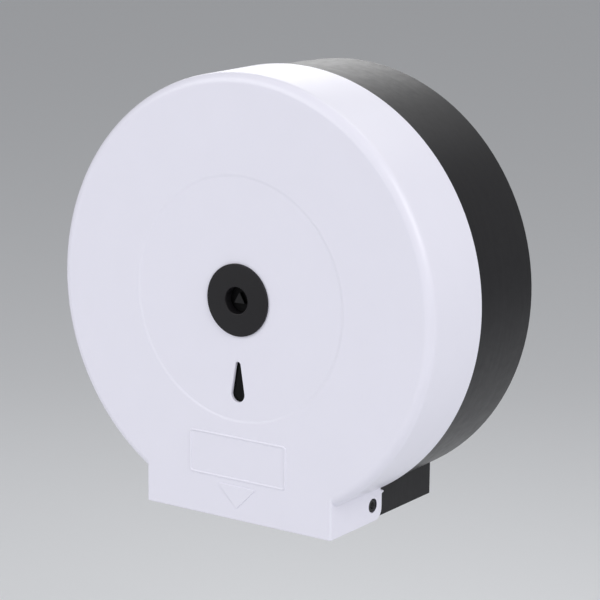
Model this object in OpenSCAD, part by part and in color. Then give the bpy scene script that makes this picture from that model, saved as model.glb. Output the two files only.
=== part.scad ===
// Jumbo toilet roll dispenser: a round wall case with a hinged front cover.
// Sizes are in millimetres. Modules draw in the wall's own frame, with x to the right, y up and
// z straight out of the wall. on_wall() turns that frame upright: the wall is the plane y = 0, the
// front faces -Y, +Z is up, and the origin is where the drum's axis meets the wall.

/* [Drum] */
// Radius of the cover at its rear rim
rim_r = 136; // [125:0.5:150]
// How much smaller the cover's radius is at the front, for the mould draft
cover_draft = 0.6; // [0.1:0.1:3]
// Rounding between the cover's face and its side
face_round = 6; // [4:0.5:10]
// Distance from the wall to the cover's face
depth = 118; // [112:0.5:135]
// Distance from the wall to the cover's rear rim
split = 63.3; // [55:0.1:70]
// Wall thickness of the cover
cover_wall = 2.8; // [2.2:0.1:3.4]
// Wall thickness of the case
case_wall = 2.6; // [2:0.1:3.4]
// How far the case's side lies inside the cover's rim
case_inset = 1.2; // [0.8:0.1:3]
// How much smaller the case's radius is at the wall, for the mould draft
case_draft = 1.1; // [0.4:0.1:3]
// Gap between the case's edge and the cover's rim
split_gap = 0.6; // [0.4:0.1:1.2]
// How far the case's lip stands into the cover
lip_reach = 4.5; // [3:0.5:7]
// Thickness of the case's lip
lip_wall = 2.4; // [1.6:0.1:3]
// Gap between the lip and the inside of the cover
lip_gap = 0.8; // [0.6:0.1:1.2]
// Length of the lip's root inside the case's wall
lip_root = 3; // [2:0.5:5]
// Height of the lip's lower ends below the drum's axis
lip_low = 50; // [30:1:60]

/* [Back plate] */
// Thickness of the back plate
plate_t = 3; // [2:0.1:4]
// Depth of the hollow behind the back plate
plate_sink = 2.2; // [1.8:0.1:3]
// Radius of the ring rib that the roll's side rubs on
ring_r = 58; // [50:1:66]
// Radius of the outer ring rib
outer_ring_r = 112; // [105:1:118]
// Height of the ribs on the back plate
rib_h = 3; // [1.5:0.1:4]
// Thickness of the ribs on the back plate
rib_t = 2; // [1.2:0.1:3]
// Number of radial ribs on the back plate
rib_count = 8; // [4:1:12]
// Horizontal distance between the wall screw slots
slot_dx = 150; // [130:1:160]
// Vertical distance between the wall screw slots
slot_dy = 110; // [90:1:130]
// Width of each wall screw slot
slot_w = 6; // [5:0.5:7]
// End-to-end length of each wall screw slot
slot_len = 12; // [10:0.5:16]
// Material round each wall screw slot
slot_rim = 4; // [3:0.5:6]
// Height of the pads round the wall screw slots
slot_pad = 0.8; // [0.4:0.1:1.5]

/* [Throat] */
// Outer width of the cover's throat
throat_w = 137.6; // [120:0.2:150]
// How far the throat's bottom lies below the cover's rim
throat_drop = 1; // [0.5:0.5:3]
// Rounding of the throat's front corners
throat_round = 1.4; // [0.6:0.1:3]
// Gap between the cover's ears and the case's cheeks
cheek_gap = 0.9; // [0.6:0.1:1.5]
// Distance from the cover's face back to the front of the cheeks
cheek_behind = 18; // [14:0.5:24]
// Height of the cheeks' tongues above the throat's bottom
cheek_h = 24; // [20:0.5:28]
// Rounding of the tongues' upper front corners
cheek_round = 12; // [6:1:16]
// How far the ears reach behind the cover's rim
ear_back = 1.4; // [1:0.1:5]
// Height of the ears' tops above the throat's bottom
ear_h = 18.2; // [16:0.1:19]
// Rounding of the ears' lower rear corners
ear_round = 7; // [4:0.5:9]
// Radius of the small nib on the ear's rear edge
nib_r = 1.3; // [0.8:0.1:1.6]
// Height of the nib above the throat's bottom
nib_h = 15.7; // [14:0.1:16.5]

/* [Hinge] */
// Distance from the cover's rim forward to the hinge axis
hinge_fwd = 9; // [8:0.1:10]
// Height of the hinge axis above the throat's bottom
hinge_up = 10.5; // [9.5:0.1:11.5]
// Radius of the hinge pins
pin_r = 4.1; // [3:0.1:4.5]
// Radius of the pins' inner heads
pin_head_r = 6; // [5:0.1:7]
// Thickness of the pins' inner heads
pin_head_t = 1.6; // [1:0.1:2.2]
// Radius of the dimple in the pins' outer ends
pin_dimple_r = 2.2; // [1.2:0.1:2.6]
// Depth of the dimple in the pins' outer ends
pin_dimple = 1.2; // [0.5:0.1:2]
// How far the pins' outer ends lie inside the ears' faces
pin_sink = 0.4; // [0:0.1:0.8]
// Clearance round the swinging ears
swing_gap = 0.6; // [0.4:0.1:1.2]

/* [Face] */
// Radius of the sunk round panel
panel_r = 74.6; // [68:0.2:80]
// Depth of the sunk round panel
panel_sink = 0.4; // [0.3:0.1:1]
// Width of the label frame
label_w = 71.4; // [50:0.2:86]
// Height of the label frame
label_h = 25.8; // [18:0.2:28]
// Distance of the label frame's middle below the drum's axis
label_low = 97.7; // [92:0.1:101]
// Corner rounding of the label frame
label_round = 2.6; // [1.5:0.1:4]
// Width of the label frame's bead
bead_w = 1.5; // [1:0.1:2.5]
// Height of the label frame's bead and of the arrow
bead_h = 0.45; // [0.3:0.05:0.8]
// Width of the raised arrow
arrow_w = 28.3; // [20:0.1:32]
// Height of the raised arrow
arrow_h = 14.3; // [10:0.1:15]
// Distance of the arrow's top below the drum's axis
arrow_low = 115.5; // [114:0.1:118]

/* [Level window] */
// Distance of the window slot's top below the drum's axis
window_low = 38; // [34:0.5:44]
// Length of the window slot
window_len = 25; // [18:0.2:28]
// Radius of the slot's narrow upper end
window_top_r = 1.9; // [0.8:0.1:2.5]
// Radius of the slot's wide lower end
window_end_r = 4.9; // [3:0.1:6]
// Overlap of the window pane above and below its slot
pane_lap = 3.2; // [2:0.1:5]
// Width of the window pane
pane_w = 25; // [22:0.5:32]
// Corner rounding of the window pane
pane_round = 3; // [2:0.5:5]
// Thickness of the window pane
pane_t = 1.5; // [1:0.1:2.5]
// Radius of the stakes that hold the pane
stake_r = 1.2; // [0.8:0.1:1.6]
// Radius of the melted heads on the stakes
stake_head_r = 2.1; // [1.8:0.1:2.6]
// Thickness of the melted heads on the stakes
stake_head_t = 0.7; // [0.5:0.1:1.2]
// Distance of the stakes from the pane's edges
stake_in = 3.2; // [2.8:0.1:4]

/* [Cover ribs] */
// Radius of the ring rib round the lock
guard_r = 25; // [23:0.5:28]
// Height of the ribs inside the cover
cover_rib_h = 5; // [3:0.5:6]
// Thickness of the ribs inside the cover
cover_rib_t = 1.6; // [1.2:0.1:2.2]
// Number of radial ribs inside the cover
cover_rib_count = 6; // [3:1:10]

/* [Lock] */
// Radius of the round lock bezel
bezel_r = 22.1; // [20:0.1:24]
// How far the bezel's edge stands in front of the sunk panel
bezel_h = 1.4; // [0.9:0.1:2]
// How much higher the domed bezel is at its key hole
bezel_dome = 0.7; // [0.3:0.1:1.2]
// Chamfer of the bezel's edge
bezel_chamfer = 0.4; // [0.2:0.1:0.7]
// Radius of the bezel's threaded neck
neck_r = 11.9; // [11:0.1:13]
// Length of the neck behind the cover's inner face
neck_len = 7.2; // [6:0.1:8]
// Width of the key on the neck that stops it turning in the cover
neck_key_w = 3; // [2:0.1:4]
// Height of the key on the neck
neck_key_h = 1.4; // [1:0.1:2]
// Radius of the key hole
key_hole_r = 8.2; // [7.5:0.1:8.5]
// Depth of the lock core's face below the rim of the key hole
core_sink = 5.8; // [4.5:0.1:6.5]
// Thickness of the lock core's head
core_head_t = 2.4; // [2:0.1:3]
// Radius of the lock core's shank
shank_r = 6; // [5:0.1:6.5]
// Side of the triangular key post
post_side = 8; // [7:0.1:9]
// Height of the triangular key post
post_h = 2.5; // [1.5:0.1:3.5]
// Outer radius of the ring nut
nut_r = 17; // [15:0.1:19]
// Thickness of the ring nut
nut_t = 4; // [3:0.1:4.5]
// Number of grip notches round the ring nut
nut_notches = 12; // [6:1:16]
// Radius of each grip notch
notch_r = 1.4; // [1:0.1:1.8]
// Outer radius of the washer behind the neck
washer_r = 9.5; // [8.5:0.1:11]
// Thickness of the washer behind the neck
washer_t = 1; // [0.6:0.1:1.2]
// Outer radius of the retaining clip
clip_r = 8.2; // [7:0.1:9]
// Thickness of the retaining clip
clip_t = 0.9; // [0.6:0.1:1.2]
// Depth of the clip's groove in the shank
groove_d = 1; // [0.6:0.1:1.4]
// Length of the shank behind the clip
shank_tail = 1; // [0.6:0.1:1.6]
// Radius of the tang that carries the lock bar
tang_r = 3.4; // [3:0.1:4]
// Length of the lock bar
bar_len = 16; // [14:0.2:18]
// Height of the lock bar
bar_h = 6.8; // [6.2:0.1:7.4]
// Thickness of the lock bar
bar_t = 4; // [3:0.1:5]
// Gap between the lock bar and the keeper plate
bar_gap = 0.5; // [0.3:0.1:1]
// Side of the square end that carries the lock bar
square_side = 3.8; // [3.4:0.1:4.2]
// Length of the lock bar's screw
bar_screw_len = 8; // [6:0.5:10]

/* [Spindle] */
// Outer radius of the spindle post
post_r = 15; // [14:0.1:16]
// Wall thickness of the spindle post
post_wall = 4.5; // [4:0.1:5]
// Distance from the cover's face back to the front of the spindle post
post_behind = 17; // [16.2:0.1:20]
// Radius of the post's flange
flange_r = 32; // [30:0.5:36]
// Thickness of the post's flange
flange_t = 4; // [3.2:0.1:5]
// Radius of the circle of screws that hold the post
post_screw_pcr = 25; // [22:0.5:27]
// Number of screws that hold the post
post_screw_count = 4; // [3:1:6]
// Length of the screws that hold the post
post_screw_len = 6; // [5:0.1:6.6]
// Radius of the bosses for the post's screws
screw_boss_r = 3.4; // [3:0.1:4.5]
// Radius of the keeper plate
keeper_r = 17.8; // [17:0.1:19]
// Thickness of the keeper plate
keeper_t = 2; // [1.2:0.1:2.5]
// Width of the keeper's slot
keeper_slot_w = 19; // [17:0.1:20]
// Height of the keeper's slot
keeper_slot_h = 11.4; // [11:0.1:12]
// Corner rounding of the keeper's slot
keeper_slot_round = 2; // [1:0.1:3]
// Length of the screws that hold the keeper
keeper_screw_len = 12; // [8:0.5:16]
// Radius of the small screws' threads
screw_r = 1.3; // [1:0.05:1.5]
// Radius of the small screws' heads
screw_head_r = 2.5; // [2:0.1:3]
// Height of the small screws' heads
screw_head_h = 1.4; // [1:0.1:1.8]

/* [Hub] */
// Thickness of the nylon washer behind the hub
hub_washer_t = 1; // [0.6:0.1:1.6]
// Outer radius of the nylon washer
hub_washer_r = 20; // [18:0.5:24]
// End play of the hub behind the keeper plate
hub_play = 0.3; // [0.2:0.05:0.6]
// Wall thickness of the roll hub
hub_wall = 3.4; // [2.6:0.1:4]
// Radius of the hub's rear flange
hub_flange_r = 36; // [32:0.5:42]
// Thickness of the hub's rear flange
hub_flange_t = 2; // [1.5:0.1:3]
// Number of round windows in the hub's flange
hub_windows = 6; // [4:1:8]
// Radius of the windows in the hub's flange
hub_window_r = 5; // [3:0.5:6]
// Outer radius of the core adaptor
adaptor_r = 27; // [25:0.5:30]
// Wall thickness of the core adaptor
adaptor_wall = 2.4; // [2:0.1:3]
// Sliding clearance of the core adaptor on the hub
adaptor_gap = 0.15; // [0.1:0.05:0.3]
// Wall thickness of the core adaptor's inner sleeve
sleeve_wall = 1.8; // [1.4:0.1:2.4]
// Distance from the hub's front end back to the front of the core adaptor
adaptor_behind = 8.5; // [4:0.5:24]
// Lead-in chamfer of the core adaptor
adaptor_lead = 0.8; // [0.4:0.1:1]
// Number of spokes in the core adaptor
spoke_count = 6; // [3:1:8]
// Thickness of the adaptor's spokes
spoke_t = 2; // [1.4:0.1:3]
// How far the spokes end inside the adaptor's two ends
spoke_short = 3; // [2:0.5:8]

/* [Tear strips] */
// Thickness of the steel tear strips
strip_t = 0.8; // [0.5:0.1:1.2]
// Height of the tear strips above the throat's bottom
strip_h = 9; // [7:0.5:12]
// Distance from the wall to the rear end of the strips
strip_back = 9; // [8:0.5:16]
// Gap between the strips' front ends and the cheeks' front edges
strip_inset = 3; // [1:0.5:8]
// Pitch of the tear teeth
tooth_pitch = 3; // [2:0.25:5]
// Depth of the tear teeth
tooth_d = 1.8; // [1:0.1:2.4]
// How far the teeth stand below the throat
tooth_out = 1.4; // [0.4:0.1:1.6]
// Distance of the strips' rear screws from the strips' rear ends
strip_screw_in = 12; // [8:0.5:20]
// Height of the strips' screws above the throat's bottom
strip_screw_up = 4.8; // [4.4:0.1:6]
// Length of the strips' screws
strip_screw_len = 3.1; // [2.6:0.1:3.2]

/* [Hidden] */
$fn = 96;
// Radial clearance of parts that turn on each other, and of parts that sit tight
run = 0.08;
seat = 0.02;
// Clearance of screws in their through holes, and of a piece in a plain opening
loose = 0.2;
// Overlap that carries a cut through a surface
cut = 1;
eps = 0.01;

// Drum and throat
rim_inner_r = rim_r - cover_wall;
case_r = rim_r - case_inset;
case_back_r = case_r - case_draft;
case_front = split - split_gap;
inner_face = depth - cover_wall;
panel_face = depth - panel_sink;
bottom = -(rim_r + throat_drop);
ear_out = throat_w / 2;
ear_in = ear_out - cover_wall;
cheek_out = ear_in - cheek_gap;
cheek_in = cheek_out - case_wall;
ear_rear = split - ear_back;
plate_front = plate_sink + plate_t;
tongue_top = bottom + cheek_h;
cheek_front = depth - cheek_behind;
lip_r = rim_inner_r - lip_gap;
// The throat's cuts start this far above its bottom, well inside the drum
throat_cut_h = 60;

// Hinge
hinge_y = bottom + hinge_up;
hinge_z = split + hinge_fwd;
nib_y = bottom + nib_h;
// Farthest point of the ear from the hinge axis, with the nib on its rear edge
ear_reach = max(norm([hinge_fwd + ear_back, ear_h - hinge_up]),
    norm([hinge_fwd + ear_back + nib_r / 2, nib_h - hinge_up]) + nib_r);

// Lock, and the front of the spindle post behind it
post_front = depth - post_behind;
bezel_edge = panel_face + bezel_h;
core_face = bezel_edge + bezel_dome - core_sink;
core_seat = core_face - core_head_t;
neck_back = inner_face - neck_len;
washer_back = neck_back - washer_t;
clip_back = washer_back - clip_t;
shank_back = clip_back - shank_tail;
keeper_front = post_front + keeper_t;
bar_front = post_front - bar_gap;
bar_back = bar_front - bar_t;

// Hub
hub_back = plate_front + flange_t + hub_washer_t;
hub_front = post_front - hub_play;
hub_bore = post_r + run;
hub_r = hub_bore + hub_wall;
adaptor_back = hub_back + hub_flange_t;
adaptor_front = hub_front - adaptor_behind;
post_bore = post_r - post_wall;
keeper_screw_y = post_r - post_wall / 2;
// The post's screws sit in counterbores this deep
counterbore = screw_head_h + 0.4;
post_screw_z = plate_front + flange_t - counterbore;

// Tear strips
strip_front = cheek_front - strip_inset;
strip_len = strip_front - strip_back;
tooth_count = floor(strip_len / tooth_pitch);

// ---- Shared shapes ----

// Turns the wall's frame upright
module on_wall() {
    rotate([90, 0, 0]) children();
}

// A plate that runs across from x0 to x1, of an outline drawn as [depth, height]
module across(x0, x1) {
    rotate([0, -90, 0]) translate([0, 0, -x1]) linear_extrude(x1 - x0) children();
}

// A block that runs up from y0 to y1, of an outline drawn as [x, depth]
module upright(y0, y1) {
    rotate([-90, 0, 0]) translate([0, 0, y0]) linear_extrude(y1 - y0) mirror([0, 1]) children();
}

// What is drawn for the right side, on both sides
module both_sides() {
    children();
    mirror([1, 0, 0]) children();
}

// A ring from z0 to z1
module ring(outer, inner, z0, z1) {
    translate([0, 0, z0]) difference() {
        cylinder(r = outer, h = z1 - z0);
        translate([0, 0, -cut]) cylinder(r = inner, h = z1 - z0 + 2 * cut);
    }
}

// Half section of a drum with a drafted side and a rounded front edge, inset by one wall if asked
module drum_section(inset) {
    slope = atan(cover_draft / (depth - split));
    r = face_round - inset;
    z = depth - face_round;
    x = rim_r - inset / cos(slope) - tan(slope) * (z - split) - r / cos(slope);
    base = split - (inset > 0 ? cut : 0);
    union() {
        polygon([[0, base], [rim_r - inset / cos(slope) - tan(slope) * (base - split), base],
            [x + r * cos(slope), z + r * sin(slope)], [x, z], [x, depth - inset],
            [0, depth - inset]]);
        translate([x, z]) circle(r = r);
    }
}

// A teardrop with a small round top, hanging from the origin
module teardrop() {
    top = -window_top_r;
    low = -window_len + window_end_r;
    lean = asin((window_end_r - window_top_r) / (top - low));
    translate([0, top]) circle(r = window_top_r);
    translate([0, low]) circle(r = window_end_r);
    polygon([for (p = [[1, top, window_top_r], [1, low, window_end_r],
            [-1, low, window_end_r], [-1, top, window_top_r]])
        [p[0] * p[2] * cos(lean), p[1] + p[2] * sin(lean)]]);
}

// A rounded rectangle
module rounded(w, h, r) {
    square([w - 2 * r, h], center = true);
    square([w, h - 2 * r], center = true);
    for (x = [-1, 1], y = [-1, 1])
        translate([x * (w / 2 - r), y * (h / 2 - r)]) circle(r = r);
}

// A slot along x
module slot(len, w) {
    square([len - w, w], center = true);
    for (x = [-1, 1])
        translate([x * (len - w) / 2, 0]) circle(d = w);
}

// A pan-head screw whose thread runs towards -z from z = 0, with a cross recess
module screw(len) {
    difference() {
        union() {
            translate([0, 0, -len]) cylinder(r = screw_r, h = len);
            cylinder(r1 = screw_head_r, r2 = 0.8 * screw_head_r, h = screw_head_h);
        }
        for (a = [0, 90])
            rotate([0, 0, a]) translate([0, 0, screw_head_h])
                cube([screw_head_r, 0.25 * screw_head_r, screw_head_h], center = true);
    }
}

// ---- Places that two pieces share ----

// The four wall screw slots, grown by g, from z0 to z1
module wall_slots(g, z0, z1) {
    for (x = [-1, 1], y = [-1, 1])
        translate([x * slot_dx / 2, y * slot_dy / 2, z0])
            linear_extrude(z1 - z0) slot(slot_len + 2 * g, slot_w + 2 * g);
}

// The seats of the screws that hold the spindle post
module at_post_screws() {
    for (i = [0 : post_screw_count - 1])
        rotate([0, 0, 45 + i * 360 / post_screw_count])
            translate([post_screw_pcr, 0, post_screw_z]) children();
}

// The seats of the two screws that hold the keeper plate
module at_keeper_screws() {
    for (s = [-1, 1])
        translate([0, s * keeper_screw_y, keeper_front]) children();
}

// The seats of the right strip's screws, whose heads face into the throat: one near its rear end,
// one midway between the hinge pin's head and its front end
module at_strip_screws() {
    for (z = [strip_back + strip_screw_in, (hinge_z + pin_head_r + strip_front) / 2])
        translate([cheek_in - strip_t, bottom + strip_screw_up, z]) rotate([0, -90, 0]) children();
}

// The stakes that hold the window pane
module at_stakes() {
    for (x = [-1, 1], y = [stake_in - pane_lap, window_len + pane_lap - stake_in])
        translate([x * (pane_w / 2 - stake_in), -window_low - y, 0]) children();
}

// The hinge axis, seen from the side
module at_hinge() {
    translate([hinge_z, hinge_y]) children();
}

// ---- Case ----

// The case's outline, smaller at the wall for the mould draft, grown by g
module case_solid(g, z0, z1) {
    slope = case_draft / case_front;
    cone = case_back_r + g;
    rotate_extrude()
        polygon([[0, z0], [cone + slope * z0, z0], [cone + slope * z1, z1], [0, z1]]);
    translate([-cheek_out - g, bottom - g, z0])
        cube([2 * (cheek_out + g), throat_cut_h, z1 - z0]);
}

// The room in the case, open to the front and, between the cheeks, below
module case_room() {
    slope = case_draft / case_front;
    cone = case_back_r - case_wall;
    z1 = case_front + cut;
    rotate_extrude()
        polygon([[0, plate_front], [cone + slope * plate_front, plate_front],
            [cone + slope * z1, z1], [0, z1]]);
    translate([-cheek_in, bottom - cut, plate_front])
        cube([2 * cheek_in, throat_cut_h + cut, z1 - plate_front]);
}

// A cheek, seen from the side: one plate from the back plate to the throat's front
module cheek_outline() {
    difference() {
        translate([plate_sink, bottom]) square([cheek_front - plate_sink, cheek_h]);
        translate([cheek_front - cheek_round, tongue_top - cheek_round]) difference() {
            square(cheek_round + cut);
            circle(r = cheek_round);
        }
    }
}

// Ring ribs and radial ribs on the back plate, clear of the wall screws' heads
module plate_ribs() {
    difference() {
        union() {
            for (r = [ring_r, outer_ring_r])
                ring(r + rib_t / 2, r - rib_t / 2, plate_front - eps, plate_front + rib_h);
            for (i = [0 : rib_count - 1])
                rotate([0, 0, (i + 0.5) * 360 / rib_count])
                    translate([ring_r, -rib_t / 2, plate_front - eps])
                        cube([outer_ring_r - ring_r, rib_t, rib_h]);
        }
        wall_slots(slot_rim, 0, depth);
    }
}

// The lip inside the cover's rim, on the upper part only, clear of the swinging cover
module lip() {
    difference() {
        ring(lip_r, lip_r - lip_wall, case_front - lip_root, case_front + lip_reach);
        translate([-rim_r, -rim_r - lip_low, 0]) cube([2 * rim_r, rim_r, depth]);
    }
}

module rear_case() {
    color("#262628") on_wall() difference() {
        union() {
            difference() {
                case_solid(0, 0, case_front);
                case_room();
                case_solid(-case_wall, -cut, plate_sink);
            }
            lip();
            both_sides() across(cheek_in, cheek_out) cheek_outline();
            plate_ribs();
            wall_slots(slot_rim, 0, plate_front + slot_pad);
            at_post_screws() translate([0, 0, -post_screw_z])
                cylinder(r = screw_boss_r, h = plate_front);
        }
        wall_slots(0, -cut, depth);
        at_post_screws() translate([0, 0, -post_screw_len])
            cylinder(r = screw_r + seat, h = depth);
        both_sides() {
            // Room for the swinging ear
            across(cheek_out, ear_out + cheek_gap) at_hinge() circle(r = ear_reach + swing_gap);
            across(cheek_in - cut, cheek_out + cut) at_hinge() circle(r = pin_r + seat);
            at_strip_screws() translate([0, 0, -strip_screw_len])
                cylinder(r = screw_r + seat, h = strip_screw_len + cut);
        }
    }
}

// The toothed steel strip on the right cheek, cut away round the hinge pin's head
module right_strip() {
    pitch = strip_len / tooth_count;
    root = bottom - tooth_out + tooth_d;
    difference() {
        across(cheek_in - strip_t, cheek_in) difference() {
            polygon(concat(
                [[strip_front, bottom + strip_h], [strip_back, bottom + strip_h]],
                [for (i = [0 : tooth_count - 1], t = [0, 1])
                    [strip_back + (i + t / 2) * pitch, root - t * tooth_d]],
                [[strip_front, root]]));
            at_hinge() circle(r = pin_head_r + loose);
        }
        at_strip_screws() cylinder(r = screw_r + loose, h = 4 * strip_t, center = true);
    }
}

module tear_strip_left() {
    color("#b4b6b8") on_wall() mirror([1, 0, 0]) right_strip();
}

module tear_strip_right() {
    color("#b4b6b8") on_wall() right_strip();
}

module strip_screws() {
    color("#c0c0c0") on_wall() both_sides() at_strip_screws() screw(strip_screw_len);
}

// ---- Spindle and hub ----

module spindle_post() {
    color("#d8d8d4") on_wall() difference() {
        union() {
            ring(flange_r, post_bore, plate_front, plate_front + flange_t);
            ring(post_r, post_bore, plate_front, post_front);
        }
        at_post_screws() {
            cylinder(r = screw_head_r + loose, h = depth);
            cylinder(r = screw_r + loose, h = depth, center = true);
        }
        at_keeper_screws() translate([0, 0, -keeper_screw_len])
            cylinder(r = screw_r + seat, h = depth);
    }
}

module post_screws() {
    color("#c0c0c0") on_wall() at_post_screws() screw(post_screw_len);
}

module keeper_plate() {
    color("#b4b6b8") on_wall() difference() {
        translate([0, 0, post_front]) linear_extrude(keeper_t) difference() {
            circle(r = keeper_r);
            rounded(keeper_slot_w, keeper_slot_h, keeper_slot_round);
        }
        at_keeper_screws() cylinder(r = screw_r + loose, h = 4 * keeper_t, center = true);
    }
}

module keeper_screws() {
    color("#c0c0c0") on_wall() at_keeper_screws() screw(keeper_screw_len);
}

module hub_washer() {
    color("#ecebe4") on_wall() ring(hub_washer_r, hub_bore, hub_back - hub_washer_t, hub_back);
}

module roll_hub() {
    color("#e6e6e8") on_wall() difference() {
        rotate_extrude() polygon([[hub_bore, hub_back], [hub_flange_r, hub_back],
            [hub_flange_r, hub_back + hub_flange_t], [hub_r, hub_back + hub_flange_t],
            [hub_r, hub_front - hub_wall / 2], [hub_r - hub_wall / 2, hub_front],
            [hub_bore, hub_front]]);
        for (i = [0 : hub_windows - 1])
            rotate([0, 0, i * 360 / hub_windows]) translate([(hub_r + hub_flange_r) / 2, 0, 0])
                cylinder(r = hub_window_r, h = depth);
    }
}

module core_adaptor() {
    bore = hub_r + adaptor_gap;
    inside = adaptor_r - adaptor_wall;
    spoke_in = bore + sleeve_wall / 2;
    color("#3a3a3e") on_wall() {
        ring(bore + sleeve_wall, bore, adaptor_back, adaptor_front);
        rotate_extrude() polygon([[inside, adaptor_back], [adaptor_r, adaptor_back],
            [adaptor_r, adaptor_front - adaptor_lead], [adaptor_r - adaptor_lead, adaptor_front],
            [inside, adaptor_front]]);
        // The spokes end a little inside the sleeves' ends
        for (i = [0 : spoke_count - 1])
            rotate([0, 0, (i + 0.5) * 360 / spoke_count])
                translate([spoke_in, -spoke_t / 2, adaptor_back + spoke_short])
                    cube([inside + adaptor_wall / 2 - spoke_in, spoke_t,
                        adaptor_front - adaptor_back - 2 * spoke_short]);
    }
}

// ---- Hinge pins ----

// The right pin: its head inside the cheek, its end just inside the ear's face, with a dimple
module right_pin() {
    end = ear_out - pin_sink;
    difference() {
        union() {
            across(cheek_in - pin_head_t, cheek_in) at_hinge() circle(r = pin_head_r);
            across(cheek_in, end) at_hinge() circle(r = pin_r);
        }
        across(end - pin_dimple, end + cut) at_hinge() circle(r = pin_dimple_r);
    }
}

module hinge_pin_left() {
    color("#2e2e30") on_wall() mirror([1, 0, 0]) right_pin();
}

module hinge_pin_right() {
    color("#2e2e30") on_wall() right_pin();
}

// ---- Cover ----

// An ear, seen from the side: its lower rear corner is round and a small nib stands behind it
module ear_outline() {
    difference() {
        union() {
            translate([ear_rear, bottom]) square([3 * ear_round, ear_h]);
            translate([split, bottom]) square([3 * ear_round - ear_back, throat_cut_h]);
        }
        translate([ear_rear + ear_round, bottom + ear_round]) rotate(180) difference() {
            square(ear_round + cut);
            circle(r = ear_round);
        }
    }
    translate([ear_rear - nib_r / 2, nib_y]) circle(r = nib_r);
}

// The throat, seen from above, with rounded front corners
module throat_outline() {
    back = ear_rear + ear_round;
    translate([-ear_out, back]) square([2 * ear_out, depth - throat_round - back]);
    translate([-ear_out + throat_round, back]) square([2 * (ear_out - throat_round), depth - back]);
    for (s = [-1, 1])
        translate([s * (ear_out - throat_round), depth - throat_round]) circle(r = throat_round);
}

// The cover's shell: drum, throat and ears in one wall thickness
module cover_shell() {
    difference() {
        union() {
            rotate_extrude() drum_section(0);
            upright(bottom, bottom + throat_cut_h) throat_outline();
            both_sides() across(ear_in, ear_out) ear_outline();
        }
        rotate_extrude() drum_section(cover_wall);
        translate([-ear_in, bottom - cut, ear_rear - 2 * cut])
            cube([2 * ear_in, throat_cut_h + cut, inner_face - ear_rear + 2 * cut]);
    }
}

// The label frame and the arrow on the face
module face_marks() {
    translate([0, 0, depth - eps]) linear_extrude(bead_h + eps) {
        translate([0, -label_low]) difference() {
            rounded(label_w, label_h, label_round);
            rounded(label_w - 2 * bead_w, label_h - 2 * bead_w, label_round - bead_w + 0.5);
        }
        translate([0, -arrow_low])
            polygon([[-arrow_w / 2, 0], [arrow_w / 2, 0], [0, -arrow_h]]);
    }
}

// Ribs inside the cover's face: one ring round the lock, one under the panel's edge, and spokes
module cover_ribs() {
    back = inner_face - cover_rib_h;
    for (r = [guard_r, panel_r])
        ring(r + cover_rib_t / 2, r - cover_rib_t / 2, back, inner_face + eps);
    for (i = [0 : cover_rib_count - 1])
        rotate([0, 0, -90 + (i + 0.5) * 360 / cover_rib_count])
            translate([guard_r, -cover_rib_t / 2, back])
                cube([panel_r - guard_r, cover_rib_t, cover_rib_h + eps]);
}

module front_cover() {
    color("#e4e5ee") on_wall() {
        difference() {
            union() {
                cover_shell();
                face_marks();
                cover_ribs();
            }
            translate([0, 0, panel_face]) cylinder(r = panel_r, h = depth);
            cylinder(r = neck_r + loose, h = 2 * depth);
            neck_key(loose, inner_face - cut, depth);
            translate([0, -window_low, 0]) linear_extrude(2 * depth) teardrop();
            both_sides() across(ear_in - cut, ear_out + cut) at_hinge() circle(r = pin_r + run);
        }
        at_stakes() {
            translate([0, 0, inner_face - pane_t]) cylinder(r = stake_r, h = pane_t + eps);
            translate([0, 0, inner_face - pane_t - stake_head_t])
                cylinder(r1 = 0.8 * stake_head_r, r2 = stake_head_r, h = stake_head_t);
        }
    }
}

module level_window() {
    middle = -window_low - window_len / 2;
    color("#3c4046") on_wall() difference() {
        translate([0, middle, inner_face - pane_t])
            linear_extrude(pane_t) rounded(pane_w, window_len + 2 * pane_lap, pane_round);
        at_stakes() cylinder(r = stake_r + seat, h = depth);
    }
}

// ---- Lock ----

// The key on the lock's neck, grown by g
module neck_key(g, z0, z1) {
    translate([-neck_key_w / 2 - g, 0, z0])
        cube([neck_key_w + 2 * g, neck_r + neck_key_h + g, z1 - z0]);
}

// The bezel's domed disc, chamfered at its edge. The dome is an arc of a large radius.
module bezel_disc() {
    dome_r = (pow(bezel_r, 2) - pow(key_hole_r, 2)) / (2 * bezel_dome);
    top = bezel_edge + 2 * bezel_dome;
    rotate_extrude() intersection() {
        translate([0, bezel_edge - sqrt(pow(dome_r, 2) - pow(bezel_r, 2))])
            circle(r = dome_r, $fn = 720);
        polygon([[0, panel_face], [bezel_r, panel_face], [bezel_r, bezel_edge - bezel_chamfer],
            [bezel_r - 2 * bezel_dome - bezel_chamfer, top], [0, top]]);
    }
}

module lock_bezel() {
    color("#303034") on_wall() difference() {
        union() {
            bezel_disc();
            translate([0, 0, neck_back]) cylinder(r = neck_r, h = panel_face - neck_back + eps);
            neck_key(0, inner_face + seat, panel_face + eps);
        }
        translate([0, 0, core_seat]) cylinder(r = key_hole_r, h = depth);
        cylinder(r = shank_r + run, h = depth);
    }
}

module ring_nut() {
    color("#303034") on_wall() translate([0, 0, inner_face - nut_t])
        linear_extrude(nut_t) difference() {
            circle(r = nut_r);
            circle(r = neck_r + seat);
            for (i = [0 : nut_notches - 1])
                rotate(i * 360 / nut_notches) translate([nut_r, 0]) circle(r = notch_r);
        }
}

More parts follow.
